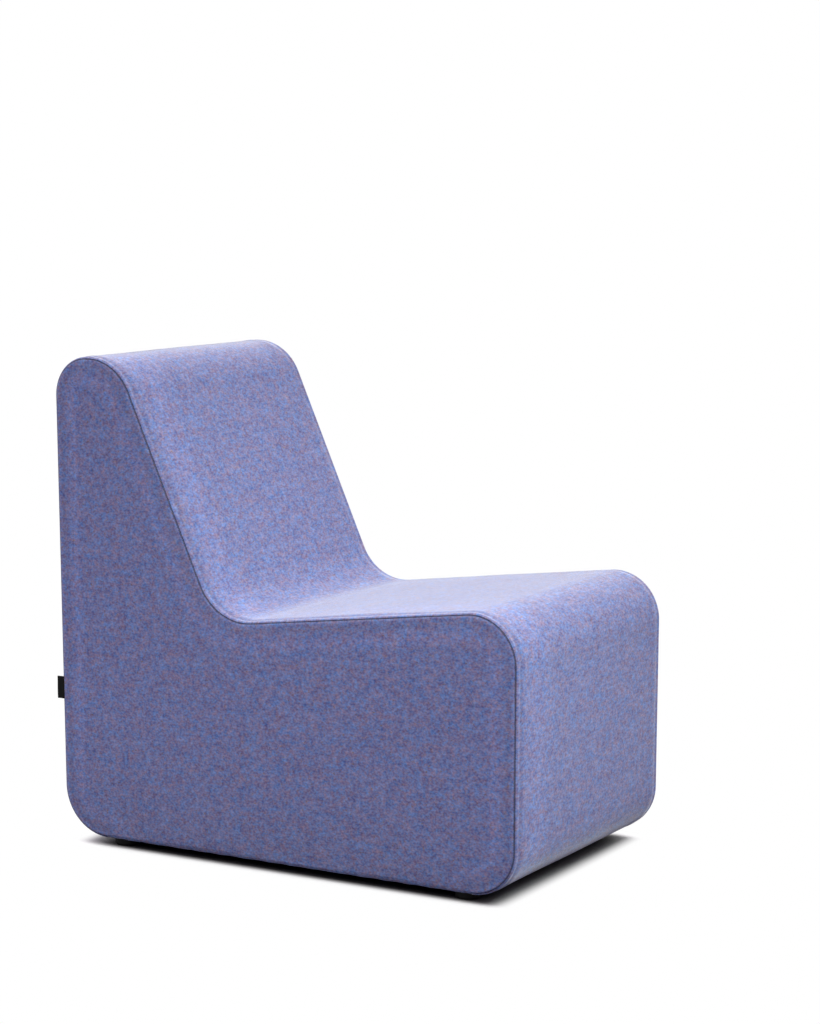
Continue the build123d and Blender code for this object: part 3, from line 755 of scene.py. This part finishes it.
wool = {
    # Melange wool cloth: fibres dyed azure and mauve are blended before spinning, then the weave is milled
    # and raised, so it shows soft flecks in slow clouds, no shine, and a pale bloom along the nap.
    "azure": "#6f8cc5", "mauve": "#90809e", "burr": "#8d7858",
    # fibre, blend and cloud: mm across and along, detail, offset, and shares of tone, hue and chance of a
    # burr; the real fibres are finer than this, drawn as coarse as they show
    "flecks": [((4.0, 3.0), 1.0, 0.0, (0.93, 1.46, 1.0)), ((8.0, 7.0), 0.0, 3.7, (0.43, 0.88, 0.0)),
               ((24.0, 20.0), 1.0, 9.1, (0.33, 0.74, 0.0))],
    "burrChance": (0.18, 0.25), "burrShare": 0.7,
    "paleness": (1.06, 1.1, 0.7),  # a paler fibre has less dye, so its blue gains least
    "nap": (3.0, 3.0, 0.7), "tuft": 0.5,            # raised fibre ends: mm, detail, roughness; their height
    "lie": (60.0, 1.1),            # patches in which the nap lies another way: mm, height
    "threadAndGrooveShade": (0.4 * mm, 2.1 * mm), "threadAndGrooveShadeLevel": 0.36,    # the dark thread and painted shade of the seam's groove show out to here from the seam
    # distance from the seam as a share of pressedShadeReach, and half the tone there: the nap pressed flat
    # beside the seam, with painted shade in the dip next to it and a painted highlight further in
    "pressed": [(0.0, 0.52), (1.0, 0.5), (0.04, 0.52), (0.09, 0.462), (0.17, 0.512), (0.29, 0.53),
                (0.42, 0.55), (0.62, 0.545), (0.83, 0.515)],
    "pressedShadeReach": 120 * mm,
    "shader": {"Roughness": 0.92, "Diffuse Roughness": 1.0, "Sheen Weight": 0.78, "Sheen Roughness": 0.3,
               "Specular IOR Level": 0.1},
    "bump": (0.6, 0.45),
}


def makeWool():
    # each layer of flecks adds (noise - half) times its shares: tone, hue and chance of a burr
    paint, add, coords = newPaint("milledMelangeWool", ownMap=True)
    total = (0, 0, 0)
    for (across, along), detail, offset, shares in wool["flecks"]:
        laid = add("Mapping", {"Vector": coords, "Location": (offset, offset, 0),
                               "Scale": (1000 / across, 1000 / along, 1)})
        noise = add("TexNoise", {"Vector": laid, "Scale": 1.0, "Detail": detail}, noise_dimensions="2D")
        centred = add("VectorMath", {0: (noise, "Color"), 1: (0.5, 0.5, 0.5)}, "SUBTRACT")
        total = add("VectorMath", {0: centred, 1: shares, 2: total}, "MULTIPLY_ADD")
    parts = add("SeparateXYZ", {0: total})
    hue = add("Math", {0: (parts, "Y"), 1: 0.5}, "ADD", use_clamp=True)
    dyed = add("Mix", {0: hue, 6: linearOf(wool["azure"]), 7: linearOf(wool["mauve"])}, data_type="RGBA")
    first, full = wool["burrChance"]
    chance = add("MapRange",
                 {"Value": (parts, "Z"), "From Min": first, "From Max": full, "To Max": wool["burrShare"]})
    mixed = add("Mix", {0: chance, 6: (dyed, 2), 7: linearOf(wool["burr"])}, data_type="RGBA")
    tone = add("VectorMath", {0: parts, 1: wool["paleness"], 2: (1, 1, 1)}, "MULTIPLY_ADD")
    cloth = add("VectorMath", {0: (mixed, 2), 1: tone}, "MULTIPLY")
    # the raised nap, which lies unevenly in patches; these show where the cloth is seen from low down
    size, detail, rough = wool["nap"]
    nap = add("TexNoise", {"Vector": coords, "Scale": 1000 / size, "Detail": detail, "Roughness": rough},
              noise_dimensions="2D")
    raised = add("Math", {0: parts, 1: wool["tuft"], 2: nap}, "MULTIPLY_ADD")
    size, share = wool["lie"]
    patch = add("TexNoise", {"Vector": coords, "Scale": 1000 / size, "Detail": 1.0}, noise_dimensions="2D")
    raised = add("Math", {0: patch, 1: share, 2: raised}, "MULTIPLY_ADD")
    # the stitch line shows the dark thread, and painted shade darkens its groove
    distance = add("Attribute", attribute_name="seamDistance", attribute_type="GEOMETRY")
    first, full = wool["threadAndGrooveShade"]
    threadAndGrooveShade = add("MapRange", {"Value": (distance, "Fac"), "From Min": first, "From Max": full,
                              "To Min": wool["threadAndGrooveShadeLevel"]}, interpolation_type="SMOOTHSTEP")
    # beside it the nap is pressed flat: painted shade darkens the dip next to the seam, and a painted
    # highlight makes the cloth paler further in
    inward = add("Attribute", attribute_name="pressedShadeDistance", attribute_type="GEOMETRY")
    reach = add("MapRange", {"Value": (inward, "Fac"), "From Max": wool["pressedShadeReach"]})
    seamShadeAndHighlight = add("FloatCurve", {"Value": reach})
    line = seamShadeAndHighlight.mapping.curves[0].points
    for i, spot in enumerate(wool["pressed"]):
        point = line[i] if i < 2 else line.new(*spot)
        point.location = spot
    seamShadeAndHighlight.mapping.update()
    # painted shade and highlight beside the seam, with the dark thread, scale the cloth's colour
    scuffAndSeamShade = add("Math", {0: threadAndGrooveShade, 1: seamShadeAndHighlight}, "MULTIPLY")
    double = add("VectorMath", {0: cloth, 1: (2, 2, 2)}, "MULTIPLY")
    shadePaint(add, wool, add("VectorMath", {0: double, 3: scuffAndSeamShade}, "SCALE"), raised)
    return paint


woolPaint = makeWool()
for piece in [woolBand, *woolSides]:
    piece.data.materials.append(woolPaint)
print("wool is on")


tag = {
    # black woven ribbon: fine ribs along its length from the weft, slightly silky
    "ply": 0.7 * mm, "straightSteps": 12, "turnSteps": 8, "rows": 36,
    "curl": 0.7 * mm, "wave": 0.25 * mm, "waveTurn": 5.1, "shown": 9.5 * mm,      # past the rear seam
    "ribPitch": 0.9, "pickShare": 0.35, "pickPace": 0.6,                          # pitch in mm
    "stops": [(0.15, "#030304"), (0.8, "#08090a")], "bump": (0.5, 0.12),
    "shader": {"Roughness": 0.8, "Sheen Weight": 0.02, "Sheen Roughness": 0.4, "Specular IOR Level": 0.15},
}


def makeTag():
    # A folded ribbon: its middle line runs out along one ply, round a half turn and back along the other;
    # the section is that line moved half a ply to each side, carried up the tag's height.
    low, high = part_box("seam_tag")
    ply, steps = tag["ply"], tag["straightSteps"]
    outer, inner = low.x + ply / 2, high.x - ply / 2
    turnRadius = (inner - outer) / 2
    straight = np.linspace(low.y, high.y - turnRadius - ply / 2, steps)
    angle = np.linspace(-math.pi / 2, math.pi / 2, tag["turnSteps"])[1:-1]
    turnX, turnY = (outer + inner) / 2 + turnRadius * np.sin(angle), straight[-1] + turnRadius * np.cos(angle)
    x = np.concatenate([np.full(steps, outer), turnX, np.full(steps, inner)])
    y = np.concatenate([straight, turnY, straight[::-1]])
    wayX, wayY = np.gradient(x), np.gradient(y)
    size = np.hypot(wayX, wayY)
    z = np.linspace(low.z, high.z, tag["rows"])[:, None]
    wave = tag["wave"] * np.sin((z - low.z) / (high.z - low.z) * tag["waveTurn"])
    run = np.concatenate([[0], np.cumsum(np.hypot(np.diff(x), np.diff(y)))])
    shape = []
    for sign in (1, -1):
        px = x + sign * wayY / size * ply / 2 + 0 * z
        py = y - sign * wayX / size * ply / 2 + 0 * z
        shown = np.clip((py - chair["rearY"]) / tag["shown"], 0, 1.2)
        px = px - tag["curl"] * shown ** 2 - wave * shown
        shape.append(np.stack([px, py, z + 0 * px], -1))
    loop = np.concatenate([shape[0], shape[1][:, ::-1]], 1)
    rows, columns = loop.shape[:2]
    uv = np.stack(np.broadcast_arrays(np.concatenate([run, run[::-1]]), z), -1)
    faces = quadsOf(rows, columns, closeColumns=True).tolist()
    for row, way in ((0, -1), (rows - 1, 1)):
        a = row * columns + np.arange(len(x) - 1)
        b = row * columns + columns - 1 - np.arange(len(x) - 1)
        faces += np.stack([a, a + 1, b - 1, b], -1)[:, ::way].tolist()
    piece = makePiece("seamTagRibbon", loop, faces, uv, ["seam_tag"])
    return piece


def ribbonPaint():
    # ribs and, weaker, picks: two sine waves over the ribbon's own map
    paint, add, coords = newPaint("wovenBlackRibbon", ownMap=True)
    pace = 2 * math.pi * 1000 / tag["ribPitch"]
    ribs, picks = sines(add, coords, (1, pace), (0, pace * tag["pickPace"]))
    weave = add("Math", {0: picks, 1: tag["pickShare"], 2: ribs}, "MULTIPLY_ADD")
    most = 1 + tag["pickShare"]
    rampPaint(add, tag, add("MapRange", {"Value": weave, "From Min": -most, "From Max": most}))
    return paint


underCloth = {
    # spunbonded black cloth: matted fibres pinned by a grid of small pressed dots
    "step": 5 * mm, "thickness": 0.55 * mm, "under": 0.06 * mm,
    "sag": 1.6 * mm, "sagStart": 12 * mm, "sagEase": 60 * mm,
    "edgeWave": 0.25 * mm, "edgeFade": 22 * mm, "wavePitch": 62 * mm, "waveSkew": 0.3,
    "bondPitch": 1.6, "bond": (0.16, 0.34), "fibre": (0.7, 6.0, 1.0),             # mm
    "stops": [(0.05, "#121316"), (0.6, "#232428")], "bump": (0.5, 0.15),
    "shader": {"Roughness": 0.75, "Sheen Weight": 0.2},
}


def makeUnderCloth():
    # Stretched dust cloth: it sags by a product of two parabolas and rises in small waves between staples.
    own = underCloth
    low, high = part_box("dust_cover")
    wide, long = high.x - low.x, high.y - low.y
    nx, ny = (int(round(size / own["step"])) + 1 for size in (wide, long))
    x, y = np.meshgrid(np.linspace(low.x, high.x, nx), np.linspace(low.y, high.y, ny))
    u, v = 2 * (x - low.x) / wide - 1, 2 * (y - low.y) / long - 1
    edge = np.minimum((1 - np.abs(u)) * wide / 2, (1 - np.abs(v)) * long / 2)
    inward = smooth((edge - own["sagStart"]) / own["sagEase"])
    pace, skew = 2 * math.pi / own["wavePitch"], own["waveSkew"]
    waves = 0.5 - 0.5 * np.cos(pace * (x + skew * y)) * np.cos(pace * (y - skew * x))
    drop = (own["sag"] * (1 - u * u) * (1 - v * v) * inward
            + own["edgeWave"] * waves * np.exp(-edge / own["edgeFade"]))
    top = np.stack([x, y, high.z - own["under"] - drop], -1).reshape(-1, 3)
    points = np.concatenate([top, top - (0, 0, own["thickness"])])
    count = nx * ny
    i, j = np.arange(nx - 1), np.arange(ny - 1) * nx
    north, east = (ny - 1) * nx + i, j + nx - 1
    # each edge's two ends, in the order that turns the rim outwards
    rim = [np.stack([a, a + count, b + count, b], -1)
           for a, b in ((i, i + 1), (north + 1, north), (j + nx, j), (east, east + nx))]
    faces = np.concatenate([quadsOf(ny, nx), quadsOf(ny, nx, start=count)[:, ::-1], *rim]).tolist()
    uv = np.tile(np.stack([x, y], -1).reshape(-1, 2), (2, 1))
    piece = makePiece("dustCloth", points, faces, uv, ["dust_cover"], weld=0.001 * mm)
    return piece


def dustPaint():
    # pressed dots on a grid turned by an eighth of a turn, times matted fibres
    paint, add, coords = newPaint("spunbondedBlackCloth", ownMap=True)
    laid = add("Mapping", {"Vector": coords, "Rotation": (0, 0, math.pi / 4),
                           "Scale": (1000 / underCloth["bondPitch"],) * 3})
    dots = add("TexVoronoi", {"Vector": laid, "Scale": 1.0, "Randomness": 0.0}, voronoi_dimensions="2D")
    inner, outer = underCloth["bond"]
    pressed = add("MapRange", {"Value": dots, "From Min": inner, "From Max": outer},
                  interpolation_type="SMOOTHSTEP")
    fibres = layPattern(add, coords, "Noise", underCloth["fibre"], 4.0)
    rampPaint(add, underCloth, add("Math", {0: pressed, 1: fibres}, "MULTIPLY"))
    return paint


tagRibbon = makeTag()
dustCloth = makeUnderCloth()
tagRibbon.data.materials.append(ribbonPaint())
dustCloth.data.materials.append(dustPaint())
print("tag and dust cloth are made")


beech = {
    # planed beech: pinkish straw, close straight grain, short darker ray flecks, no finish
    "grain": (1.6, 90.0), "broad": (6, 3.1), "levels": (0.5, 0.25),     # mm thin, long; times wider, offset
    "stops": [(0.3, "#c39a6e"), (0.7, "#e4c7a0"), (0.5, "#d8b48a")],
    "fleck": "#a9794e", "fleckSize": (0.7, 3.2), "fleckReach": (0.12, 0.3), "fleckShare": 0.55,
    "shader": {"Roughness": 0.62}, "bump": (0.25, 0.15),
}

birchPly = {
    # sanded birch plywood: pale rotary-cut face, and edges of light and dark plies with thin glue lines
    "grain": (3.0, 120.0), "broad": (7, 5.3), "levels": (0.45, 0.22),
    "stops": [(0.3, "#c9ab7a"), (0.7, "#e6d2ab"), (0.5, "#d9c193")],
    "plyThickness": 1.4, "facing": (0.6, 0.8),
    "plies": [(0.02, "#7b5b3c"), (0.98, "#7b5b3c"), (0.07, "#b28f62"), (0.46, "#b28f62"), (0.52, "#dcc49a"),
              (0.93, "#dcc49a")],
    "shader": {"Roughness": 0.6}, "bump": (0.2, 0.1),
}


def alongAxis(sizes, axis):
    # the long size on one axis, and the thin one on the other two
    thin, long = sizes
    return [long if i == axis else thin for i in range(3)]


def woodGrain(add, coords, wood, axis):
    # fine streaks times a share, plus broad ones, less a rest, pick the colour
    sizes, (wider, offset), (share, rest) = alongAxis(wood["grain"], axis), wood["broad"], wood["levels"]
    grain = layPattern(add, coords, "Noise", sizes, 4.0)
    broad = layPattern(add, coords, "Noise", [s * wider for s in sizes], 1.0, offset)
    both = add("Math", {0: grain, 1: share, 2: broad}, "MULTIPLY_ADD")
    level = add("Math", {0: both, 1: rest}, "SUBTRACT")
    return grain, add("ValToRGB", {"Fac": level}, stops=wood["stops"])


def beechPaint(axis):
    paint, add, coords = newPaint("planedBeechAlong" + "XYZ"[axis])
    grain, base = woodGrain(add, coords, beech, axis)
    ray = layPattern(add, coords, "Voronoi", alongAxis(beech["fleckSize"], axis))
    inner, outer = beech["fleckReach"]
    spot = add("MapRange", {"Value": ray, "From Min": inner, "From Max": outer, "To Min": beech["fleckShare"],
                            "To Max": 0.0})
    colour = add("Mix", {0: spot, 6: base, 7: linearOf(beech["fleck"])}, data_type="RGBA")
    shadePaint(add, beech, (colour, 2), grain)
    return paint


def plyPaint(thin, along):
    # the layers show where the surface turns away from the sheet's thin axis
    paint, add, coords = newPaint("sandedBirchPly" + "XYZ"[thin] + "XYZ"[along])
    grain, face = woodGrain(add, coords, birchPly, along)
    apart = add("SeparateXYZ", {0: coords})
    layer = add("Math", {0: (apart, thin), 1: 1000 / birchPly["plyThickness"]}, "MULTIPLY")
    plies = add("ValToRGB", {"Fac": add("Math", {0: layer, 1: 1.0}, "PINGPONG")}, stops=birchPly["plies"])
    facing = add("SeparateXYZ", {0: (add("NewGeometry"), "Normal")})
    first, full = birchPly["facing"]
    onFace = add("MapRange", {"Value": add("Math", {0: (facing, thin)}, "ABSOLUTE"), "From Min": first,
                              "From Max": full})
    colour = add("Mix", {0: onFace, 6: plies, 7: face}, data_type="RGBA")
    shadePaint(add, birchPly, (colour, 2), grain)
    return paint


foam = {
    # cut polyurethane foam: cream, open cells, yellowing slightly in patches
    "name": "cutPolyurethaneFoam", "patterns": [("Voronoi", (1.3,) * 3), ("Noise", (60.0,) * 3)],
    "share": 0.35, "heightFrom": 0, "stops": [(0.4, "#dccda6"), (0.8, "#efe6cd")],
    "shader": {"Roughness": 0.95, "Specular IOR Level": 0.2}, "bump": (0.6, 0.4),
}

wadding = {
    # bonded polyester wadding: white crimped fibre, lofty, slightly glossy strands
    "name": "bondedPolyesterWadding",
    "patterns": [("Noise", (14.0, 0.9, 0.9), 3.0), ("Noise", (1.8, 14.0, 1.8), 3.0, 4.0)],
    "share": None, "heightFrom": 2, "stops": [(0.4, "#e2e2df"), (0.65, "#fbfbf9")],
    "shader": {"Roughness": 0.8, "Sheen Weight": 0.4}, "bump": (0.6, 0.6),
}

felt = {
    # needled grey felt: short mixed fibres pressed flat, matt
    "name": "needledFelt",
    "patterns": [("Noise", (4.5, 0.8, 4.5), 3.0), ("Noise", (0.8, 4.5, 4.5), 3.0, 2.0)],
    "share": 0.5, "heightFrom": 2, "stops": [(0.6, "#5d5b57"), (0.9, "#a29e95"), (0.75, "#807d77")],
    "shader": {"Roughness": 0.95, "Sheen Weight": 0.2}, "bump": (0.5, 0.4),
}

springSteel = {
    # drawn and phosphated spring wire: dark grey, oiled, softly lustrous
    "name": "phosphatedSpringWire", "patterns": [("Noise", (6.0,) * 3, 4.0)], "heightFrom": 0,
    "stops": [(0.35, "#3b3c3e"), (0.65, "#5b5d60")],
    "shader": {"Metallic": 1.0, "Roughness": 0.42}, "bump": (0.1, 0.05),
}


def blendPaint(finish):
    # Each pattern is a kind, sizes in mm, detail and offset. The first times its share, plus the second,
    # picks the colour; without a share it is the greater of the two.
    paint, add, coords = newPaint(finish["name"])
    parts = [layPattern(add, coords, *pattern) for pattern in finish["patterns"]]
    if len(parts) > 1 and finish["share"]:
        parts.append(add("Math", {0: parts[0], 1: finish["share"], 2: parts[1]}, "MULTIPLY_ADD"))
    elif len(parts) > 1:
        parts.append(add("Math", {0: parts[0], 1: parts[1]}, "MAXIMUM"))
    rampPaint(add, finish, parts[-1], parts[finish["heightFrom"]])
    return paint


webbing = {
    # elastic webbing: black rubber-cored weave, grey pick lines across it every few mm
    "cordPitch": 3.1, "pickPitch": 2.4, "stops": [(0.2, "#26272a"), (0.8, "#3c3e43")],
    "shader": {"Roughness": 0.7, "Sheen Weight": 0.15}, "bump": (0.6, 0.3),
}


def webbingPaint():
    # a sine wave across times one along
    paint, add, coords = newPaint("wovenElasticWebbing")
    paces = (2 * math.pi * 1000 / webbing[key] for key in ("cordPitch", "pickPitch"))
    cords, picks = sines(add, coords, *zip((0, 2), paces))
    weave = add("Math", {0: cords, 1: picks}, "MULTIPLY")
    rampPaint(add, webbing, add("MapRange", {"Value": weave, "From Min": -1.0}))
    return paint


zinc = {
    # bright zinc plate on pressed steel: cool silver with faint clouding and fine scratches
    "cloud": 3.0, "scratch": (0.3, 7.0), "stops": [(0.3, "#a9adb0"), (0.7, "#d3d6d8")],
    "scratchLevels": (0.3, 0.7), "gloss": (0.26, 0.42), "shader": {"Metallic": 1.0}, "bump": (0.1, 0.03),
}

nylon = {
    # moulded black nylon: fine spark-eroded texture, scuffed paler where it meets the floor
    "body": "#070708", "scuff": "#2c2d2f", "texture": 0.8, "marks": (5.0, 1.2, 3.0), "scuffHeight": 1.2 * mm,
    "shader": {"Roughness": 0.6, "Specular IOR Level": 0.12}, "bump": (0.25, 0.06),
}


def zincPaint():
    paint, add, coords = newPaint("zincPlatedSteel")
    cloud = layPattern(add, coords, "Noise", [zinc["cloud"]] * 3, 3.0)
    scratch = layPattern(add, coords, "Noise", alongAxis(zinc["scratch"], 0))
    (low, high), (smoothest, dullest) = zinc["scratchLevels"], zinc["gloss"]
    gloss = add("MapRange", {"Value": scratch, "From Min": low, "From Max": high, "To Min": smoothest,
                             "To Max": dullest})
    shadePaint(add, zinc, add("ValToRGB", {"Fac": cloud}, stops=zinc["stops"]), scratch, Roughness=gloss)
    return paint


def nylonPaint():
    paint, add, coords = newPaint("mouldedBlackNylon")
    grit = layPattern(add, coords, "Noise", [nylon["texture"]] * 3)
    marks = layPattern(add, coords, "Noise", nylon["marks"], 4.0, 1.7)
    apart = add("SeparateXYZ", {0: coords})
    low = add("MapRange", {"Value": (apart, 2), "From Min": nylon["scuffHeight"], "From Max": 0.0})
    scuffAndSeamShade = add("Math", {0: low, 1: marks}, "MULTIPLY")
    colour = add("Mix", {0: scuffAndSeamShade, 6: linearOf(nylon["body"]), 7: linearOf(nylon["scuff"])}, data_type="RGBA")
    shadePaint(add, nylon, (colour, 2), grit)
    return paint


finishes = {
    # finish, and words in the names of the frame nodes that have it
    plyPaint(0, 2): ["side_panel"],
    plyPaint(1, 0): ["front_panel"],
    plyPaint(1, 2): ["rear_panel"],
    plyPaint(2, 0): ["top_board", "corner_blocks"],
    beechPaint(1): ["runner"],
    beechPaint(0): ["rail"],
    blendPaint(foam): ["foam"],
    blendPaint(wadding): ["wadding"],
    blendPaint(felt): ["felt"],
    webbingPaint(): ["webbing"],
    blendPaint(springSteel): ["springs"],
    zincPaint(): ["clips", "screws", "staples"],
    nylonPaint(): ["glides"],
}
finished = 0
for paint, words in finishes.items():
    for node in [node for name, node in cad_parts.items() if any(word in name for word in words)]:
        node.data.materials.clear()
        node.data.materials.append(paint)
        finished += 1
print("finishes are on", finished, "frame nodes")
